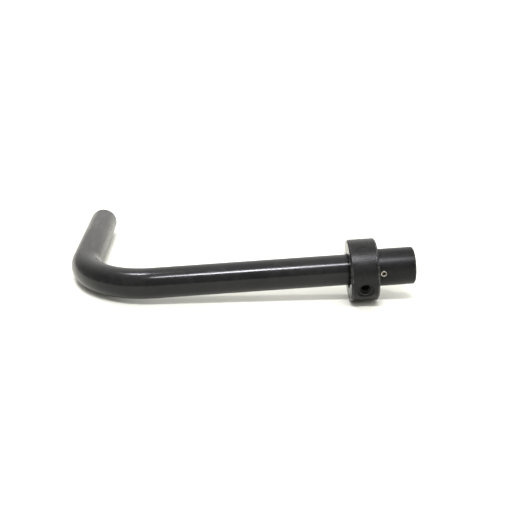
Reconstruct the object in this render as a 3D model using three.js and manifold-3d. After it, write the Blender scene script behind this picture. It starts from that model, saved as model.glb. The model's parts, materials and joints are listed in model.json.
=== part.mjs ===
// Winch handle: a round bar bent to a right angle, with a pinned drive sleeve on the end of its
// long arm and a set-screw collar on the arm behind the sleeve.
//
// Millimetres. The origin is the centre of the drive end's face. +X points out of the drive end,
// along the arm's axis. The bar's centreline lies in the plane Z = 0, and the short grip leg
// points along +Y.

import * as THREE from 'three';
import { mergeVertices } from 'three/addons/utils/BufferGeometryUtils.js';
import Module from 'manifold-3d';

const INCH = 25.4;
const GAP = 0.3; // clearance modelled between pieces that touch on the real handle

// Handle bar
const BAR_RADIUS = 5 / 16 * INCH;
const ARM_LENGTH = 173; // corner of the two centrelines to the drive end
const LEG_LENGTH = 109.5; // corner of the two centrelines to the grip end
const BEND_RADIUS = 40; // at the centreline
const GRIP_CHAMFER = 1.4;
const END_CHAMFER = 0.5;
const BEND_STEPS = 16;

// Drive sleeve
const SLEEVE_RADIUS = 3 / 8 * INCH;
const SLEEVE_LENGTH = 3 / 4 * INCH;
const SLEEVE_CHAMFER = 0.7;

// Stop collar
const COLLAR_RADIUS = 5 / 8 * INCH;
const COLLAR_WIDTH = 9 / 16 * INCH;
const COLLAR_BORE_RADIUS = 9;
const COLLAR_CHAMFER = 0.8;
const COLLAR_PULL = 0.9; // how far the tightened screw draws the loose collar off the bar's axis
const COLLAR_END_X = -SLEEVE_LENGTH - GAP;

// Set screw, 5/16-18, and its tapped hole
const SCREW_ANGLE = THREE.MathUtils.degToRad(22); // below the bar's plane, on the side away from the leg
const THREAD_RADIUS = 5 / 32 * INCH;
const SCREW_RADIUS = THREAD_RADIUS - GAP;
const SCREW_LENGTH = 1 / 4 * INCH;
const SCREW_CHAMFER = 0.6;
const CUP_RADIUS = 2;
const CUP_DEPTH = 0.9;
const HEX_ACROSS_FLATS = 5 / 32 * INCH;
const HEX_DEPTH = 3.4;
const COUNTERSINK_RADIUS = 4.55;

// Roll pin
const PIN_RADIUS = 1 / 16 * INCH;
const PIN_WALL = 0.6;
const PIN_SLIT = 0.6;
const PIN_LENGTH = 18.7;
const PIN_X = -16.5;

const WELD_DISTANCE = 1e-5; // points this close are one point
const BAR_SIDES = 48;
const COLLAR_SIDES = 64;
const SMALL_SIDES = 24;

const wasm = await Module();
wasm.setup();

function toSolid(geometry) {
  const bare = geometry.clone();
  bare.deleteAttribute('normal');
  bare.deleteAttribute('uv');
  const merged = mergeVertices(bare, WELD_DISTANCE);
  return new wasm.Manifold(new wasm.Mesh({
    numProp: 3,
    vertProperties: new Float32Array(merged.attributes.position.array),
    triVerts: new Uint32Array(merged.index.array),
  }));
}

function toGeometry(solid) {
  const mesh = solid.getMesh();
  const geometry = new THREE.BufferGeometry();
  geometry.setAttribute('position', new THREE.BufferAttribute(mesh.vertProperties, 3));
  geometry.setIndex(new THREE.BufferAttribute(mesh.triVerts, 1));
  geometry.computeVertexNormals();
  return geometry;
}

function cut(geometry, ...cutters) {
  let solid = toSolid(geometry);
  for (const cutter of cutters) {
    solid = solid.subtract(toSolid(cutter));
  }
  return toGeometry(solid);
}

// A turned solid from [radius, height] pairs. Its axis is +Z.
function turned(profile, sides) {
  const points = profile.map(([radius, height]) => new THREE.Vector2(radius, height));
  return new THREE.LatheGeometry(points, sides).rotateX(Math.PI / 2);
}

// The ring that leaves a chamfer on the end of a round bar that ends at Z = 0, seen from below.
function chamferRing(radius, chamfer) {
  const margin = 1;
  return turned([
    [radius - chamfer - margin, margin],
    [radius + margin, -chamfer - margin],
    [radius + 2 * margin, 2 * margin],
    [radius - chamfer - margin, margin],
  ], BAR_SIDES);
}

function material(color, roughness, metalness) {
  return new THREE.MeshStandardMaterial({ color, roughness, metalness });
}

function part(name, geometry, look) {
  const mesh = new THREE.Mesh(geometry, look);
  mesh.name = name;
  return mesh;
}

// The bar's centreline: the arm from the drive end, a quarter-circle bend, then the leg.
// Its parameter gives each straight one step and the bend all the others.
class BentCentreline extends THREE.Curve {
  getPoint(t, target = new THREE.Vector3()) {
    const steps = BEND_STEPS + 2;
    const bendStartX = BEND_RADIUS - ARM_LENGTH;
    const station = t * steps;
    if (station <= 1) {
      return target.set(bendStartX * station, 0, 0);
    }
    if (station < steps - 1) {
      const angle = (station - 1) / BEND_STEPS * Math.PI / 2;
      const across = BEND_RADIUS * Math.sin(angle);
      const along = BEND_RADIUS * (1 - Math.cos(angle));
      return target.set(bendStartX - across, along, 0);
    }
    const legRun = (station - steps + 1) * (LEG_LENGTH - BEND_RADIUS);
    return target.set(-ARM_LENGTH, BEND_RADIUS + legRun, 0);
  }

  getUtoTmapping(u) {
    return u;
  }
}

// A drill for the roll pin's hole, across the bar along Y.
function pinDrill() {
  const reach = 4 * BAR_RADIUS;
  return new THREE.CylinderGeometry(PIN_RADIUS + GAP, PIN_RADIUS + GAP, reach, SMALL_SIDES)
    .translate(PIN_X, 0, 0);
}

function handleBar() {
  const section = new THREE.Shape();
  section.absarc(0, 0, BAR_RADIUS, 0, 2 * Math.PI);
  const bar = new THREE.ExtrudeGeometry(section, {
    steps: BEND_STEPS + 2,
    curveSegments: BAR_SIDES / 2,
    extrudePath: new BentCentreline(),
  });
  const driveChamfer = chamferRing(BAR_RADIUS, END_CHAMFER).rotateY(Math.PI / 2);
  const gripChamfer = chamferRing(BAR_RADIUS, GRIP_CHAMFER)
    .rotateX(-Math.PI / 2)
    .translate(-ARM_LENGTH, LEG_LENGTH, 0);
  return cut(bar, driveChamfer, gripChamfer, pinDrill());
}

function driveSleeve() {
  const inner = BAR_RADIUS + GAP;
  const chamfer = SLEEVE_CHAMFER;
  const sleeve = turned([
    [inner, -SLEEVE_LENGTH],
    [SLEEVE_RADIUS, -SLEEVE_LENGTH],
    [SLEEVE_RADIUS, -chamfer],
    [SLEEVE_RADIUS - chamfer, 0],
    [inner, 0],
    [inner, -SLEEVE_LENGTH],
  ], BAR_SIDES).rotateY(Math.PI / 2);
  return cut(sleeve, pinDrill());
}

// The collar turns about Z here, between Z = 0 and its width, with its tapped hole along +X.
function stopCollar() {
  const chamfer = COLLAR_CHAMFER;
  const collar = turned([
    [COLLAR_BORE_RADIUS, 0],
    [COLLAR_RADIUS - chamfer, 0],
    [COLLAR_RADIUS, chamfer],
    [COLLAR_RADIUS, COLLAR_WIDTH - chamfer],
    [COLLAR_RADIUS - chamfer, COLLAR_WIDTH],
    [COLLAR_BORE_RADIUS, COLLAR_WIDTH],
    [COLLAR_BORE_RADIUS, 0],
  ], COLLAR_SIDES);
  const sinkStart = COLLAR_RADIUS - (COUNTERSINK_RADIUS - THREAD_RADIUS);
  const sinkReach = 3;
  const tapAndSink = turned([
    [0, 0],
    [THREAD_RADIUS, 0],
    [THREAD_RADIUS, sinkStart],
    [THREAD_RADIUS + sinkReach, sinkStart + sinkReach],
    [0, sinkStart + sinkReach],
  ], SMALL_SIDES);
  tapAndSink.rotateY(Math.PI / 2).translate(0, 0, COLLAR_WIDTH / 2);
  return cut(collar, tapAndSink);
}

// The screw stands on its cup point at Z = 0, with its hexagon socket at the top.
function setScrew() {
  const body = turned([
    [0, CUP_DEPTH],
    [CUP_RADIUS, 0],
    [SCREW_RADIUS - SCREW_CHAMFER, 0],
    [SCREW_RADIUS, SCREW_CHAMFER],
    [SCREW_RADIUS, SCREW_LENGTH - SCREW_CHAMFER],
    [SCREW_RADIUS - SCREW_CHAMFER, SCREW_LENGTH],
    [0, SCREW_LENGTH],
  ], SMALL_SIDES);
  const hexRadius = HEX_ACROSS_FLATS / Math.sqrt(3);
  const socket = new THREE.CylinderGeometry(hexRadius, hexRadius, 2 * HEX_DEPTH, 6)
    .rotateX(Math.PI / 2)
    .translate(0, 0, SCREW_LENGTH);
  return cut(body, socket);
}

// A rolled tube with an open slit down its side, standing along Z about its middle.
function rollPin() {
  const inner = PIN_RADIUS - PIN_WALL;
  const outerSlit = Math.asin(PIN_SLIT / 2 / PIN_RADIUS);
  const innerSlit = Math.asin(PIN_SLIT / 2 / inner);
  const section = new THREE.Shape();
  section.absarc(0, 0, PIN_RADIUS, outerSlit, 2 * Math.PI - outerSlit);
  section.absarc(0, 0, inner, 2 * Math.PI - innerSlit, innerSlit, true);
  return new THREE.ExtrudeGeometry(section, {
    depth: PIN_LENGTH,
    curveSegments: SMALL_SIDES / 2,
    bevelEnabled: false,
  }).translate(0, 0, -PIN_LENGTH / 2);
}

const blackOxide = material(0x2b2b2e, 0.42, 0.85);
const blackCollar = material(0x262627, 0.55, 0.8);
const blackSleeve = material(0x29292b, 0.5, 0.8);
const blackScrew = material(0x1d1d1f, 0.5, 0.8);
const bareSteel = material(0xb9b4a8, 0.4, 1);

const bar = part('handle_bar', handleBar(), blackOxide);
const sleeve = part('drive_sleeve', driveSleeve(), blackSleeve);

const pin = part('roll_pin', rollPin(), bareSteel);
pin.position.set(PIN_X, 0, 0);
pin.rotation.x = -Math.PI / 2;

// The collar's own frame: Z out along the bar and X along the screw, away from the bar.
const screwDirection = new THREE.Vector3(0, -Math.cos(SCREW_ANGLE), -Math.sin(SCREW_ANGLE));
const outward = new THREE.Vector3(1, 0, 0);
const sideways = new THREE.Vector3().crossVectors(outward, screwDirection);
const collarGroup = new THREE.Group();
collarGroup.quaternion.setFromRotationMatrix(
  new THREE.Matrix4().makeBasis(screwDirection, sideways, outward),
);
collarGroup.position.copy(screwDirection).multiplyScalar(COLLAR_PULL);
collarGroup.position.x = COLLAR_END_X - COLLAR_WIDTH;

const collar = part('stop_collar', stopCollar(), blackCollar);
const screw = part('set_screw', setScrew(), blackScrew);
screw.position.set(BAR_RADIUS + GAP - COLLAR_PULL, 0, COLLAR_WIDTH / 2);
screw.rotation.y = Math.PI / 2;
collarGroup.add(collar, screw);

const handle = new THREE.Group();
handle.add(bar, sleeve, pin, collarGroup);

export default handle;
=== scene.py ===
import json
import math

import bmesh
import bpy
from mathutils import Matrix, Vector


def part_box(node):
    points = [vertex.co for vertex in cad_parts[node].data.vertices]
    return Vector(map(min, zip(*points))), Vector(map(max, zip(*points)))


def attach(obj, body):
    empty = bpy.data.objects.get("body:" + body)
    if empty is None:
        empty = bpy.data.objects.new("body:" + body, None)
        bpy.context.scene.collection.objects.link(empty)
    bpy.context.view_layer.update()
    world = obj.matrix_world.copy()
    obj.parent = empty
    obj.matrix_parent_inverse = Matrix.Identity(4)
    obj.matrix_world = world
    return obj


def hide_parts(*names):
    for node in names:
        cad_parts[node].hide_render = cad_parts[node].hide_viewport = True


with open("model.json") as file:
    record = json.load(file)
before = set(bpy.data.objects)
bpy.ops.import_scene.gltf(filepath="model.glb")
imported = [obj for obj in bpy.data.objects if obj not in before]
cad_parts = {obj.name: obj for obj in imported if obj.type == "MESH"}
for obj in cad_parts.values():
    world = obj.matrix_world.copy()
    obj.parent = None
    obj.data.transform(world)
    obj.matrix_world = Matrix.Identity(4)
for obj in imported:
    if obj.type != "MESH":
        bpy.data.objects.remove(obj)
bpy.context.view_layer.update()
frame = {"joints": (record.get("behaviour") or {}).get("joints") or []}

# The looks of a winch handle: a bent round bar with a pinned drive sleeve and a set-screw collar.
# Metres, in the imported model's frame: the drive end's face is at the origin, +X points out of it
# along the arm, and the grip leg points along +Y.

MM = 0.001
INCH = 25.4 * MM

# ---------------------------------------------------------------- sizes

bar_low, bar_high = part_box("handle_bar")
sleeve_low, sleeve_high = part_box("drive_sleeve")
collar_low, collar_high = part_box("stop_collar")
pin_low, pin_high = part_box("roll_pin")

BAR_RADIUS = bar_high.z
BEND_RADIUS = 40 * MM
ARM_RUN = -bar_low.x - BAR_RADIUS - BEND_RADIUS
LEG_RUN = bar_high.y - BEND_RADIUS
BEND_RUN = BEND_RADIUS * math.pi / 2
BAR_RUN = ARM_RUN + BEND_RUN + LEG_RUN
BAR_CHAMFER = 0.5 * MM
GRIP_ROUND = 1.5 * MM

SLEEVE_RADIUS = sleeve_high.z
SLEEVE_LENGTH = sleeve_high.x - sleeve_low.x
SLEEVE_CHAMFER = 0.7 * MM
SLEEVE_PLAY = 0.03 * MM  # between the bar and the sleeve's bore

COLLAR_RADIUS = (collar_high.z - collar_low.z) / 2
COLLAR_WIDTH = collar_high.x - collar_low.x
COLLAR_BORE_RADIUS = 9 * MM
COLLAR_CHAMFER = 0.8 * MM
BORE_CHAMFER = 0.3 * MM

FACET_LOSS = 0.008 * MM  # by which the faceted pin's box falls short of a round pin's
PIN_RADIUS = (pin_high.z - pin_low.z) / 2 + FACET_LOSS
PIN_LENGTH = pin_high.y - pin_low.y
PIN_WALL = 0.6 * MM
PIN_SLIT = 0.6 * MM
PIN_EASE = 0.22 * MM
PIN_PLAY = 0.01 * MM  # between the pin and its hole

# The pin's box is short on the side of its slit, so its centre is taken from the other side.
pin_centre = (pin_low + pin_high) / 2
pin_centre.x = pin_low.x + PIN_RADIUS

THREAD_RADIUS = 5 / 32 * INCH
THREAD_PITCH = INCH / 18
THREAD_DEPTH = 0.77 * MM
THREAD_PLAY = 0.06 * MM  # between the screw's thread and the hole's
ROOT_FLAT = 1 / 4  # each flat stretch's share of a pitch
CREST_FLAT = 1 / 8
COUNTERSINK_RADIUS = 4.55 * MM

SCREW_LENGTH = INCH / 4
SCREW_SEAT = 0.02 * MM  # between the screw's point and the bar
SCREW_EASE = 0.75 * MM
CUP_RADIUS = 2 * MM
CUP_DEPTH = 0.9 * MM
HEX_APOTHEM = 5 / 64 * INCH
HEX_DEPTH = 3.4 * MM
HEX_BEVEL = 0.25 * MM
HEX_BEVEL_DEPTH = 0.2 * MM
DRILL_RADIUS = 0.9 * HEX_APOTHEM  # of the cone that the drill left below the hexagon
DRILL_POINT = 0.8 * MM

ROUND_SIDES = 192
BAR_SIDES = 128
COLLAR_SIDES = 256
THREAD_SIDES = 96
DRILL_SIDES = 48
BEND_STEPS = 90
THREAD_STEPS = 24  # rings in one pitch
CREASE = math.radians(30)  # sharper edges than this are kept sharp
WELD = 0.001 * MM  # points this close are one point

# ---------------------------------------------------------------- mesh helpers


def rounded(corners, steps=6):
    """A profile's points from (radius, height, round) corners, with an arc in place of each round."""
    points = []
    for index, (radius, height, fillet) in enumerate(corners):
        corner = Vector((radius, height))
        if not fillet:
            points.append(tuple(corner))
            continue
        before = (Vector(corners[index - 1][:2]) - corner).normalized()
        after = (Vector(corners[(index + 1) % len(corners)][:2]) - corner).normalized()
        half_angle = before.angle(after) / 2
        centre = corner + (before + after).normalized() * fillet / math.sin(half_angle)
        start = corner + before * fillet / math.tan(half_angle) - centre
        end = corner + after * fillet / math.tan(half_angle) - centre
        for step in range(steps + 1):
            arm = start.normalized().slerp(end.normalized(), step / steps) * fillet
            points.append(tuple(centre + arm))
    return points


def straight(radius, angle, height):
    """A ring's point when the rings are stacked along Z."""
    return Vector((radius * math.cos(angle), radius * math.sin(angle), height))


def skin(name, rings, sides=ROUND_SIDES, closed=False, place=straight):
    """A closed mesh over a stack of rings. A ring is (radius, height), or a function of the angle
    that gives them; a ring of no radius is a single point, which closes an end."""
    points = []
    rows = []
    for ring in rings:
        first = ring(0.0) if callable(ring) else ring
        count = sides if first[0] > 0 else 1
        row = []
        for step in range(count):
            angle = 2 * math.pi * step / sides
            radius, height = ring(angle) if callable(ring) else ring
            row.append(len(points))
            points.append(place(radius, angle, height))
        rows.append(row if count > 1 else row * sides)
    pairs = list(zip(rows, rows[1:]))
    if closed:
        pairs.append((rows[-1], rows[0]))
    faces = []
    for lower, upper in pairs:
        for step in range(sides):
            after = (step + 1) % sides
            loop = (lower[step], lower[after], upper[after], upper[step])
            faces.append(tuple(dict.fromkeys(loop)))
    mesh = bpy.data.meshes.new(name)
    mesh.from_pydata(points, [], faces)
    piece = bpy.data.objects.new(name, mesh)
    bpy.context.scene.collection.objects.link(piece)
    outward(mesh)
    return piece


def outward(mesh):
    """Turns every face out, joins points that coincide and drops faces of no area."""
    work = bmesh.new()
    work.from_mesh(mesh)
    bmesh.ops.remove_doubles(work, verts=work.verts, dist=WELD)
    bmesh.ops.dissolve_degenerate(work, edges=work.edges, dist=WELD)
    bmesh.ops.recalc_face_normals(work, faces=work.faces)
    work.to_mesh(mesh)
    work.free()


def carve(piece, cutter):
    """Cuts one mesh from another and throws the cutter away."""
    modifier = piece.modifiers.new("carve", "BOOLEAN")
    modifier.operation = "DIFFERENCE"
    modifier.solver = "EXACT"
    modifier.object = cutter
    bpy.context.view_layer.update()
    shape = piece.evaluated_get(bpy.context.evaluated_depsgraph_get())
    carved = bpy.data.meshes.new_from_object(shape)
    outward(carved)
    piece.modifiers.clear()
    piece.data = carved
    bpy.data.objects.remove(cutter)


def own_place(point):
    """A texture's place on a turned piece: its own coordinates, with its axis along Z."""
    return point


def finish_piece(piece, body, node, look, place=own_place):
    """Paints a piece, smooths it between its creases, and puts it in the CAD node's place. Each
    point keeps its texture place as an attribute, and the mesh itself ends up in the part's frame."""
    mesh = piece.data
    places = mesh.attributes.new("place", "FLOAT_VECTOR", "POINT")
    for index, vertex in enumerate(mesh.vertices):
        places.data[index].vector = place(vertex.co)
    mesh.transform(piece.matrix_world)
    piece.matrix_world = Matrix.Identity(4)
    mesh.shade_smooth()
    mesh.set_sharp_from_angle(angle=CREASE)
    mesh.materials.clear()
    mesh.materials.append(look)
    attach(piece, body)
    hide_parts(node)


def basis(origin, z_axis, x_axis):
    """The matrix that puts local Z and X along those directions, at origin."""
    z = Vector(z_axis).normalized()
    x = Vector(x_axis).normalized()
    rows = Matrix((x, z.cross(x), z))
    return Matrix.Translation(origin) @ rows.transposed().to_4x4()


# ---------------------------------------------------------------- materials


class Look:
    """A node material under construction."""

    def __init__(self, name):
        self.material = bpy.data.materials.new(name)
        self.material.use_nodes = True
        self.tree = self.material.node_tree
        self.shader = self.tree.nodes["Principled BSDF"]

    def put(self, socket, value):
        """Sets a socket to a constant, or links another node's output to it."""
        if isinstance(value, bpy.types.NodeSocket):
            self.tree.links.new(value, socket)
        else:
            socket.default_value = value

    def node(self, kind, output=0, settings=None, **inputs):
        """Adds a node and returns one of its outputs. An input goes by its socket's name, or by s
        and the socket's number."""
        made = self.tree.nodes.new(kind)
        for key, value in (settings or {}).items():
            setattr(made, key, value)
        for key, value in inputs.items():
            socket = int(key[1:]) if key[1:].isdigit() else key.replace("_", " ")
            self.put(made.inputs[socket], value)
        return made.outputs[output]

    def place(self):
        """The texture's coordinates, which every piece's mesh carries."""
        return self.node("ShaderNodeAttribute", output=1, settings={"attribute_name": "place"})

    def math(self, operation, first, second=0.0, third=0.0):
        return self.node(
            "ShaderNodeMath", settings={"operation": operation}, s0=first, s1=second, s2=third
        )

    def distance(self, first, second):
        """The length of the two sides' diagonal."""
        squares = self.math("ADD", self.math("POWER", first, 2.0), self.math("POWER", second, 2.0))
        return self.math("SQRT", squares)

    def scaled(self, vector, factors):
        """The vector stretched by a factor on each axis."""
        return self.node(
            "ShaderNodeVectorMath", settings={"operation": "MULTIPLY"}, s0=vector, s1=factors
        )

    def noise(self, vector, scale, detail=2.0, roughness=0.5):
        return self.node(
            "ShaderNodeTexNoise", Vector=vector, Scale=scale, Detail=detail, Roughness=roughness
        )

    def ramp(self, value, low, high, out_low=0.0, out_high=1.0):
        """Maps low..high smoothly to out_low..out_high, and holds beyond them."""
        return self.node(
            "ShaderNodeMapRange",
            settings={"interpolation_type": "SMOOTHSTEP"},
            Value=value, From_Min=low, From_Max=high, To_Min=out_low, To_Max=out_high,
        )

    def mix(self, factor, first, second):
        return self.node(
            "ShaderNodeMix", output=2, settings={"data_type": "RGBA"}, s0=factor, s6=first, s7=second
        )

    def bump(self, height, distance, strength=1.0, under=None):
        inputs = {"Height": height, "Distance": distance, "Strength": strength}
        if under is not None:
            inputs["Normal"] = under
        return self.node("ShaderNodeBump", **inputs)

    def surface(self, **inputs):
        for key, value in inputs.items():
            self.put(self.shader.inputs[key.replace("_", " ")], value)
        return self.material


def grey(value, tint=(1.0, 1.0, 1.0)):
    return (value * tint[0], value * tint[1], value * tint[2], 1.0)


BARE_STEEL = (0.32, 0.31, 0.30, 1.0)
DUST = grey(0.042, (1.0, 0.96, 0.82))
# Painted shade: the near-black colour given to the collar's hole and the ring round its mouth.
HOLE_SHADE_COLOUR = grey(0.001)
HOLE_SHADE_ROUGHNESS = 0.3  # what the painted shade in the collar's hole adds to the roughness
STREAK_DEPTH = 0.006 * MM


def oxide(
    look, place, drawn, shades, gloss, sheen, grain, lines, dull=0.0, dust=0.0, wear=0.0, shade_mask=0.0
):
    """Black oxide on steel. Place is the texture's vector and drawn the same one, stretched along
    the tool marks. Shades are the darkest and lightest colour, gloss the lowest and highest
    roughness, and sheen the film's index of refraction. Grain and lines are (depth, scale) of the
    surface's grit and of its tool marks. Dull is added to the roughness. The last three masks say
    where dust lies, where bare steel shows, and where shade is painted in as a near-black colour
    with added roughness."""
    cloud = look.noise(place, scale=60.0, detail=4.0, roughness=0.6)
    mottle = look.noise(place, scale=420.0, detail=3.0, roughness=0.6)
    streak = look.noise(drawn, scale=900.0, detail=3.0, roughness=0.65)
    blend = look.math("ADD", look.math("MULTIPLY", cloud, 0.5), look.math("MULTIPLY", mottle, 0.5))
    coat = look.mix(look.ramp(blend, 0.38, 0.62), grey(*shades[0]), grey(*shades[1]))
    dusty = look.mix(dust, coat, DUST)
    # Shade is painted in here: the colour goes near-black where the last mask is set.
    painted_shade = look.mix(shade_mask, dusty, HOLE_SHADE_COLOUR)
    patchy = look.ramp(blend, 0.35, 0.65, *gloss)
    streaky = look.ramp(streak, 0.3, 0.7, -0.03, 0.03)
    duller = look.math("MULTIPLY_ADD", shade_mask, HOLE_SHADE_ROUGHNESS, dull)
    grain_depth, grain_scale = grain
    line_depth, line_scale = lines
    streaks = look.bump(streak, STREAK_DEPTH)
    tool_marks = look.bump(look.noise(drawn, line_scale, roughness=0.6), line_depth, under=streaks)
    grit = look.bump(look.noise(place, grain_scale, roughness=0.6), grain_depth, under=tool_marks)
    return look.surface(
        Base_Color=look.mix(wear, painted_shade, BARE_STEEL),
        Metallic=wear,
        Roughness=look.math("ADD", look.math("ADD", patchy, streaky), duller),
        IOR=sheen,
        Normal=grit,
    )


def bar_look():
    """Drawn bar: marks along its length, and a grip leg that is duller and dusty. The place's X is
    the distance from the drive end along the bar."""
    look = Look("bar_oxide")
    place = look.place()
    drawn = look.scaled(place, (0.02, 1.0, 1.0))
    run = look.node("ShaderNodeSeparateXYZ", Vector=place)
    on_leg = look.ramp(run, ARM_RUN + 0.6 * BEND_RUN, ARM_RUN + 1.05 * BEND_RUN)
    smears = look.noise(look.scaled(place, (0.2, 1.0, 1.0)), scale=260.0, detail=4.0, roughness=0.7)
    return oxide(
        look, place, drawn,
        shades=((0.003, (1.0, 1.0, 1.04)), (0.007, (1.0, 1.0, 0.98))),
        gloss=(0.15, 0.22), sheen=1.345,
        grain=(0.004 * MM, 1500.0), lines=(0.0015 * MM, 2600.0),
        dull=look.math("MULTIPLY", on_leg, 0.12),
        dust=look.math("MULTIPLY", on_leg, look.ramp(smears, 0.3, 0.7, 0.05, 0.5)),
    )


def turned_place(look):
    """A turned piece's coordinates, the same ones unrolled so that noise runs round the axis, the
    radius, and the coordinates one by one."""
    place = look.place()
    split = look.tree.nodes.new("ShaderNodeSeparateXYZ")
    look.tree.links.new(place, split.inputs[0])
    x, y, height = split.outputs
    radius = look.distance(x, y)
    drawn = look.node("ShaderNodeCombineXYZ", X=radius, Y=0.0, Z=height)
    return place, drawn, radius, (x, y, height)


def near(look, value, target, width):
    """One at the target value, fading to nothing a width away."""
    away = look.math("ABSOLUTE", look.math("SUBTRACT", value, target))
    return look.ramp(away, 0.0, width, 1.0, 0.0)


def rim_wear(look, place, radius, height, rims, amount):
    """Patchy rubbed edges: rims are (radius, height) of each edge."""
    width = 0.35 * MM
    mask = 0.0
    for rim_radius, rim_height in rims:
        edge = look.math(
            "MULTIPLY",
            near(look, radius, rim_radius, width),
            near(look, height, rim_height, width),
        )
        mask = look.math("MAXIMUM", mask, edge)
    scuffs = look.noise(place, scale=700.0, detail=3.0, roughness=0.7)
    patches = look.ramp(scuffs, 0.42, 0.68, 0.0, amount)
    return look.math("MULTIPLY", mask, patches)


FACE_POLISH = -0.12  # what the collar's turned faces add to the roughness
# how strongly shade is painted into the collar's hole, as near-black colour and extra roughness
HOLE_SHADE = 0.85
CREST_WEAR = 0.3
RIM_WEAR = 0.35


def collar_look():
    """A gritty outside, smoother turned faces, rubbed rims, and a hole with shade painted into it and
    round its mouth, and threads that catch the light."""
    look = Look("collar_oxide")
    place, drawn, radius, (outward_x, side, height) = turned_place(look)
    rims = [
        (COLLAR_RADIUS, COLLAR_CHAMFER),
        (COLLAR_RADIUS, COLLAR_WIDTH - COLLAR_CHAMFER),
        (COLLAR_RADIUS - COLLAR_CHAMFER, 0.0),
        (COLLAR_RADIUS - COLLAR_CHAMFER, COLLAR_WIDTH),
    ]
    half_width = COLLAR_WIDTH / 2
    from_middle = look.math("SUBTRACT", height, half_width)
    to_face = look.math("ABSOLUTE", from_middle)
    on_face = look.ramp(to_face, half_width - 0.1 * MM, half_width, 0.0, FACE_POLISH)
    from_hole = look.distance(side, from_middle)
    hole_side = look.ramp(outward_x, 0.0, 1 * MM)
    mouth = COUNTERSINK_RADIUS
    # Painted shade: the hole's inside, and a ring round its mouth that reaches onto the outside, go
    # near-black and rougher.
    in_hole = look.ramp(from_hole, mouth - 0.15 * MM, mouth, HOLE_SHADE, 0.0)
    hole_rim = near(look, from_hole, mouth - 0.3 * MM, 0.4 * MM)
    painted_shade = look.math("MULTIPLY", hole_side, look.math("MAXIMUM", in_hole, hole_rim))
    crest = THREAD_RADIUS - THREAD_DEPTH
    rubbed_crest = look.ramp(from_hole, crest, crest + 0.25 * MM, CREST_WEAR, 0.0)
    on_crest = look.math("MULTIPLY", hole_side, rubbed_crest)
    rubbed = rim_wear(look, place, radius, height, rims, RIM_WEAR)
    return oxide(
        look, place, drawn,
        shades=((0.002, (1.0, 1.0, 1.0)), (0.006, (1.0, 0.99, 0.97))),
        gloss=(0.25, 0.37), sheen=1.295,
        grain=(0.09 * MM, 1500.0), lines=(0.004 * MM, 3000.0),
        dull=on_face,
        wear=look.math("MAXIMUM", rubbed, on_crest),
        shade_mask=painted_shade,
    )


def sleeve_look():
    """Fine turned marks round the sleeve."""
    look = Look("sleeve_oxide")
    place, drawn, radius, coordinates = turned_place(look)
    height = coordinates[2]
    return oxide(
        look, place, drawn,
        shades=((0.002, (1.0, 1.0, 1.0)), (0.006, (1.0, 1.0, 1.0))),
        gloss=(0.29, 0.36), sheen=1.26,
        grain=(0.02 * MM, 1900.0), lines=(0.004 * MM, 3500.0),
        wear=rim_wear(look, place, radius, height, [(SLEEVE_RADIUS, -SLEEVE_CHAMFER)], 0.15),
    )


def screw_look():
    """A dark, dirty screw with hardly any bare steel."""
    look = Look("screw_oxide")
    place, drawn = turned_place(look)[:2]
    scuffs = look.noise(place, scale=1200.0, detail=3.0, roughness=0.7)
    return oxide(
        look, place, drawn,
        shades=((0.004, (1.0, 1.0, 1.0)), (0.008, (1.0, 1.0, 1.0))),
        gloss=(0.3, 0.4), sheen=1.22,
        grain=(0.008 * MM, 2400.0), lines=(0.002 * MM, 4000.0),
        wear=look.ramp(scuffs, 0.35, 0.7, 0.0, 0.03),
    )


def pin_look():
    """Bare spring steel with brown stains."""
    steel = (0.62, 0.59, 0.53, 1.0)
    brown = (0.34, 0.31, 0.27, 1.0)
    look = Look("pin_steel")
    place, drawn = turned_place(look)[:2]
    stain = look.ramp(look.noise(place, scale=900.0, detail=3.0, roughness=0.6), 0.4, 0.65)
    streak = look.noise(drawn, scale=1500.0, roughness=0.6)
    return look.surface(
        Base_Color=look.mix(stain, steel, brown),
        Metallic=1.0,
        Roughness=look.ramp(streak, 0.3, 0.7, 0.32, 0.48),
        Normal=look.bump(streak, 0.01 * MM),
    )


# ---------------------------------------------------------------- the bar


def along_bar(radius, angle, run):
    """A ring's point on the bar: run is the distance from the drive end along the centreline."""
    side = radius * math.cos(angle)
    up = radius * math.sin(angle)
    if run <= ARM_RUN:
        return Vector((-run, side, up))
    turn = min((run - ARM_RUN) / BEND_RADIUS, math.pi / 2)
    beyond = max(run - ARM_RUN - BEND_RUN, 0.0)
    reach = BEND_RADIUS - side
    x = -ARM_RUN - reach * math.sin(turn)
    y = BEND_RADIUS - reach * math.cos(turn) + beyond
    return Vector((x, y, up))


def unbend(point):
    """Where a point of the bar would be if the bar were straight: (run, side, up)."""
    if point.x > -ARM_RUN:
        return (-point.x, point.y, point.z)
    reach_x = -ARM_RUN - point.x
    if point.y > BEND_RADIUS:
        return (ARM_RUN + BEND_RUN + point.y - BEND_RADIUS, BEND_RADIUS - reach_x, point.z)
    reach_y = BEND_RADIUS - point.y
    turn = math.atan2(reach_x, reach_y)
    side = BEND_RADIUS - math.hypot(reach_x, reach_y)
    return (ARM_RUN + turn * BEND_RADIUS, side, point.z)


def drill_for_pin(piece, growth=1.0):
    """Drills the pin's hole along Y. Growth is the hole's radius over the pin's."""
    profile = [(0, -1), (PIN_RADIUS, -1), (PIN_RADIUS, 1), (0, 1)]
    drill = skin("drill", profile, sides=DRILL_SIDES)
    drill.scale = (growth, growth, 3 * BAR_RADIUS)
    drill.rotation_euler = (math.pi / 2, 0, 0)
    drill.location = pin_centre
    carve(piece, drill)


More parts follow.
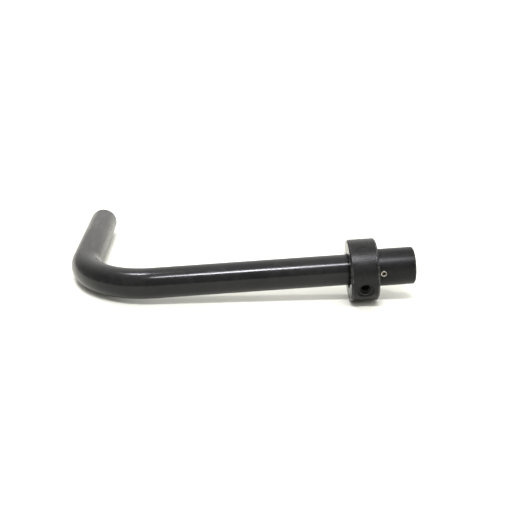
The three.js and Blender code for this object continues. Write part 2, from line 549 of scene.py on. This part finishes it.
def make_bar(look):
    edge = 0.15 * MM
    ends = rounded([
        (0, 0, 0),
        (BAR_RADIUS - BAR_CHAMFER, 0, edge),
        (BAR_RADIUS, BAR_CHAMFER, edge),
        (BAR_RADIUS, BAR_RUN, GRIP_ROUND),
        (0, BAR_RUN, 0),
    ])
    split = next(index for index, point in enumerate(ends) if point[1] > BAR_RUN / 2)
    arm_runs = [SLEEVE_LENGTH + 0.2 * MM, ARM_RUN / 2]  # just clear of the sleeve, and halfway
    bend_runs = [ARM_RUN + BEND_RUN * step / BEND_STEPS for step in range(BEND_STEPS + 1)]
    between = [(BAR_RADIUS, run) for run in arm_runs + bend_runs]
    bar = skin("bent_bar", ends[:split] + between + ends[split:], sides=BAR_SIDES, place=along_bar)
    drill_for_pin(bar)
    finish_piece(bar, "handle", "handle_bar", look, place=unbend)


# ---------------------------------------------------------------- sleeve and pin


def make_sleeve(look):
    inner = BAR_RADIUS + SLEEVE_PLAY
    bore_chamfer = 0.2 * MM
    profile = rounded([
        (inner, -SLEEVE_LENGTH, 0),
        (SLEEVE_RADIUS, -SLEEVE_LENGTH, 0.15 * MM),
        (SLEEVE_RADIUS, -SLEEVE_CHAMFER, 0.3 * MM),
        (SLEEVE_RADIUS - SLEEVE_CHAMFER, 0, 0.3 * MM),
        (inner + bore_chamfer, 0, 0),
        (inner, -bore_chamfer, 0),
    ])
    sleeve = skin("turned_sleeve", profile, closed=True)
    sleeve.matrix_world = basis((0, 0, 0), (1, 0, 0), (0, 1, 0))
    drill_for_pin(sleeve, growth=1.01)
    finish_piece(sleeve, "handle", "drive_sleeve", look)


def make_pin(look):
    """A rolled tube with an open slit, and ends that are eased inside and out."""
    half = PIN_LENGTH / 2
    arc_steps = 60
    outline = []
    for radius, direction in ((PIN_RADIUS - PIN_PLAY, 1), (PIN_RADIUS - PIN_WALL, -1)):
        gap = math.asin(PIN_SLIT / 2 / radius)
        for step in range(arc_steps + 1):
            share = step / arc_steps
            angle = gap + (2 * math.pi - 2 * gap) * (share if direction == 1 else 1 - share)
            outline.append((radius, angle))
    levels = [(-half, PIN_EASE), (-half + PIN_EASE / 2, PIN_EASE / 3), (-half + PIN_EASE, 0)]
    levels += [(-height, shrink) for height, shrink in reversed(levels)]
    points = []
    for height, shrink in levels:
        for radius, angle in outline:
            outer = radius > PIN_RADIUS - PIN_WALL / 2
            eased = radius - shrink if outer else radius + shrink / 3
            points.append(straight(eased, angle, height))
    count = len(outline)
    faces = []
    for level in range(len(levels) - 1):
        for step in range(count):
            after = (step + 1) % count
            low, high = level * count, (level + 1) * count
            faces.append((low + step, low + after, high + after, high + step))
    for base in (0, (len(levels) - 1) * count):
        for step in range(arc_steps):
            across = base + count - 1 - step
            faces.append((base + step, base + step + 1, across - 1, across))
    mesh = bpy.data.meshes.new("rolled_pin")
    mesh.from_pydata(points, [], faces)
    outward(mesh)
    pin = bpy.data.objects.new("rolled_pin", mesh)
    bpy.context.scene.collection.objects.link(pin)
    pin.matrix_world = basis(pin_centre, (0, 1, 0), (1, 0, 0))
    finish_piece(pin, "handle", "roll_pin", look)


# ---------------------------------------------------------------- collar and set screw

screw_axis = Vector(next(j for j in frame["joints"] if j["name"] == "set_screw_travel")["axis"])
collar_centre = (collar_low + collar_high) / 2
collar_place = basis((collar_low.x, collar_centre.y, collar_centre.z), (1, 0, 0), screw_axis)
screw_place = basis(collar_centre, screw_axis, (1, 0, 0))
collar_pull = math.hypot(collar_centre.y, collar_centre.z)
screw_tip = BAR_RADIUS - collar_pull + SCREW_SEAT


def thread_radius(height, angle, crest, root):
    """The radius of a right-hand thread at a height and angle. Crest and root are its two radii."""
    turn = (height / THREAD_PITCH - angle / (2 * math.pi)) % 1.0
    slope = abs(turn - 0.5) * 2
    share = (slope - ROOT_FLAT) / (1 - CREST_FLAT - ROOT_FLAT)
    return root + (crest - root) * max(0.0, min(1.0, share))


def thread_rings(start, end, crest, root, limit=None):
    """Rings of a threaded surface. The limit, a function of height, holds the radius at the ends."""
    count = math.ceil((end - start) / THREAD_PITCH * THREAD_STEPS)
    rings = []
    for step in range(count + 1):
        height = start + (end - start) * step / count
        bound = limit(height) if limit else None

        def ring(angle, height=height, bound=bound):
            radius = thread_radius(height, angle, crest, root)
            return (radius if bound is None else bound(radius), height)

        rings.append(ring)
    return rings


def make_collar(look):
    edge = 0.25 * MM
    bore = COLLAR_BORE_RADIUS
    shoulder = COLLAR_RADIUS - COLLAR_CHAMFER
    profile = rounded([
        (bore, BORE_CHAMFER, 0),
        (bore + BORE_CHAMFER, 0, 0),
        (shoulder, 0, edge),
        (COLLAR_RADIUS, COLLAR_CHAMFER, edge),
        (COLLAR_RADIUS, COLLAR_WIDTH - COLLAR_CHAMFER, edge),
        (shoulder, COLLAR_WIDTH, edge),
        (bore + BORE_CHAMFER, COLLAR_WIDTH, 0),
        (bore, COLLAR_WIDTH - BORE_CHAMFER, 0),
    ])
    collar = skin("set_collar", profile, sides=COLLAR_SIDES, closed=True)
    collar.matrix_world = collar_place
    sink_start = COLLAR_RADIUS - (COUNTERSINK_RADIUS - THREAD_RADIUS)

    def countersink(height):
        return lambda radius: max(radius, THREAD_RADIUS + height - sink_start)

    start = 5 * MM  # inside the bore
    end = COLLAR_RADIUS + 2 * MM
    rings = thread_rings(start, end, THREAD_RADIUS, THREAD_RADIUS - THREAD_DEPTH, countersink)
    tap = skin("tap", [(0, start)] + rings + [(0, end)], sides=THREAD_SIDES)
    tap.matrix_world = screw_place
    carve(collar, tap)
    finish_piece(collar, "collar", "stop_collar", look)


def hexagon(height, grow=0.0):
    """A ring on the socket's hexagon, grown outwards."""
    def ring(angle):
        within = (angle % (math.pi / 3)) - math.pi / 6
        return ((HEX_APOTHEM + grow) / math.cos(within), height)
    return ring


def make_screw(look):
    crest = THREAD_RADIUS - THREAD_PLAY
    root = THREAD_RADIUS - THREAD_DEPTH - 2 * THREAD_PLAY
    top = screw_tip + SCREW_LENGTH

    def ends(height):
        near_end = min(height - screw_tip, top - height)
        return lambda radius: min(radius, crest - SCREW_EASE + near_end)

    rings = [(0, screw_tip + CUP_DEPTH), (CUP_RADIUS, screw_tip)]
    rings += thread_rings(screw_tip, top, crest, root, ends)
    rings += [
        hexagon(top, HEX_BEVEL),
        hexagon(top - HEX_BEVEL_DEPTH),
        hexagon(top - HEX_DEPTH),
        (DRILL_RADIUS, top - HEX_DEPTH),
        (0, top - HEX_DEPTH - DRILL_POINT),
    ]
    screw = skin("socket_screw", rings, sides=THREAD_SIDES)
    screw.matrix_world = screw_place
    finish_piece(screw, "screw", "set_screw", look)


# ---------------------------------------------------------------- studio

# The handle lies on its bend and leg, and on the inner rim of the collar, so the floor is tipped a
# little in the part's frame.
rest_drop = COLLAR_RADIUS - collar_centre.z
rest_run = -bar_low.x - BAR_RADIUS + collar_low.x + COLLAR_CHAMFER
rest_tilt = math.atan2(rest_drop, rest_run) - math.asin(BAR_RADIUS / math.hypot(rest_drop, rest_run))
floor_normal = Vector((math.sin(rest_tilt), 0, math.cos(rest_tilt)))
floor_point = Vector((bar_low.x + BAR_RADIUS, 0, 0)) - floor_normal * BAR_RADIUS


def make_floor():
    """A wide sheet of pale paper, with a faint fibre in it."""
    darker = (0.62, 0.62, 0.55, 1.0)
    lighter = (0.65, 0.65, 0.58, 1.0)
    look = Look("paper")
    place = look.node("ShaderNodeTexCoord", output=3)  # the object's own coordinates
    tone = look.ramp(look.noise(place, scale=35.0, detail=3.0), 0.3, 0.7)
    fibre = look.noise(place, scale=1800.0, detail=3.0, roughness=0.6)
    look.surface(
        Base_Color=look.mix(tone, darker, lighter),
        Roughness=0.85,
        Normal=look.bump(fibre, 0.02 * MM, 0.3),
    )
    half = 4.0
    mesh = bpy.data.meshes.new("floor")
    corners = [(-half, -half, 0), (half, -half, 0), (half, half, 0), (-half, half, 0)]
    mesh.from_pydata(corners, [], [(0, 1, 2, 3)])
    mesh.materials.append(look.material)
    floor = bpy.data.objects.new("floor", mesh)
    bpy.context.scene.collection.objects.link(floor)
    along_floor = (math.cos(rest_tilt), 0, -math.sin(rest_tilt))
    floor.matrix_world = basis(floor_point, floor_normal, along_floor)
    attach(floor, "collar")  # the collar rests on it wherever it slides to


def make_world():
    """A white studio, bright overhead and behind the handle and dim on the camera's side."""
    world = bpy.data.worlds.new("studio")
    bpy.context.scene.world = world
    world.use_nodes = True
    nodes, links = world.node_tree.nodes, world.node_tree.links
    coords = nodes.new("ShaderNodeTexCoord")
    facing = nodes.new("ShaderNodeVectorMath")
    facing.operation = "DOT_PRODUCT"
    facing.inputs[1].default_value = (0.6, 0.45, 1.0)  # towards the bright side
    links.new(coords.outputs["Generated"], facing.inputs[0])
    shade = nodes.new("ShaderNodeMapRange")
    shade.interpolation_type = "SMOOTHSTEP"
    shade.inputs["From Min"].default_value = 0.0
    shade.inputs["From Max"].default_value = 1.1
    shade.inputs["To Min"].default_value = 0.58
    shade.inputs["To Max"].default_value = 1.55
    links.new(facing.outputs["Value"], shade.inputs["Value"])
    background = nodes["Background"]
    background.inputs["Color"].default_value = (1.0, 0.995, 0.975, 1.0)
    links.new(shade.outputs[0], background.inputs["Strength"])


def make_lamp(name, shape, size, watts, aim_x, elevation, distance, lean=0.0, mirrored=True):
    """An area light that shines on the arm's axis at aim_x. Elevation is its height angle, 0 on the
    camera's side and 90 overhead, and lean tips it towards +X. A lamp that isn't mirrored only
    lifts the shadows on the floor, and the steel doesn't reflect it."""
    light = bpy.data.lights.new(name, "AREA")
    light.shape = shape
    light.size, light.size_y = size
    light.energy = watts
    light.color = (0.94, 0.94, 1.0)
    lamp = bpy.data.objects.new(name, light)
    bpy.context.scene.collection.objects.link(lamp)
    height, side = math.radians(elevation), math.radians(lean)
    away = Vector((0, -math.cos(height), math.sin(height))) * math.cos(side)
    away.x = math.sin(side)
    aim = Vector((aim_x, 0, 0))
    lamp.location = aim + distance * away
    lamp.rotation_mode = "QUATERNION"
    lamp.rotation_quaternion = (-away).to_track_quat("-Z", "Y")
    lamp.visible_glossy = mirrored


def make_lamps():
    """Two strips make the narrow highlight along the arm, and a small lamp the one in the bend."""
    make_lamp("key", "RECTANGLE", (0.50, 0.12), watts=6.4, aim_x=0.01, elevation=63, distance=1.0)
    make_lamp("key_middle", "ELLIPSE", (0.29, 0.114), watts=4.2, aim_x=-0.09, elevation=63, distance=0.95)
    make_lamp(
        "bend_lamp", "ELLIPSE", (0.05, 0.22), watts=3.6, aim_x=-0.155, elevation=99, distance=0.94,
        lean=-13.5,
    )
    make_lamp(
        "front_fill", "ELLIPSE", (1.4, 1.4), watts=10.0, aim_x=-0.09, elevation=42, distance=2.0,
        mirrored=False,
    )
    make_lamp(
        "back_fill", "ELLIPSE", (1.4, 1.0), watts=36.0, aim_x=-0.09, elevation=162, distance=2.0,
        mirrored=False,
    )


def make_camera():
    """A long lens on the collar's screw side, a little above the handle and rolled slightly."""
    position = Vector((-0.08114, -0.41173, 0.16663))
    aim = Vector((-0.07977, 0.02865, 0.0))
    roll = math.radians(-3.92)
    camera = bpy.data.cameras.new("camera")
    camera.sensor_width = 36
    camera.lens = 61.13
    camera.clip_end = 20
    shooter = bpy.data.objects.new("camera", camera)
    bpy.context.scene.collection.objects.link(shooter)
    shooter.location = position
    facing = (aim - position).to_track_quat("-Z", "Y").to_matrix()
    shooter.rotation_euler = (facing @ Matrix.Rotation(roll, 3, "Z")).to_euler()
    bpy.context.scene.camera = shooter


make_bar(bar_look())
make_sleeve(sleeve_look())
make_pin(pin_look())
make_collar(collar_look())
make_screw(screw_look())
make_floor()
make_world()
make_lamps()
make_camera()

scene = bpy.context.scene
scene.view_settings.view_transform = "Standard"
scene.view_settings.look = "None"
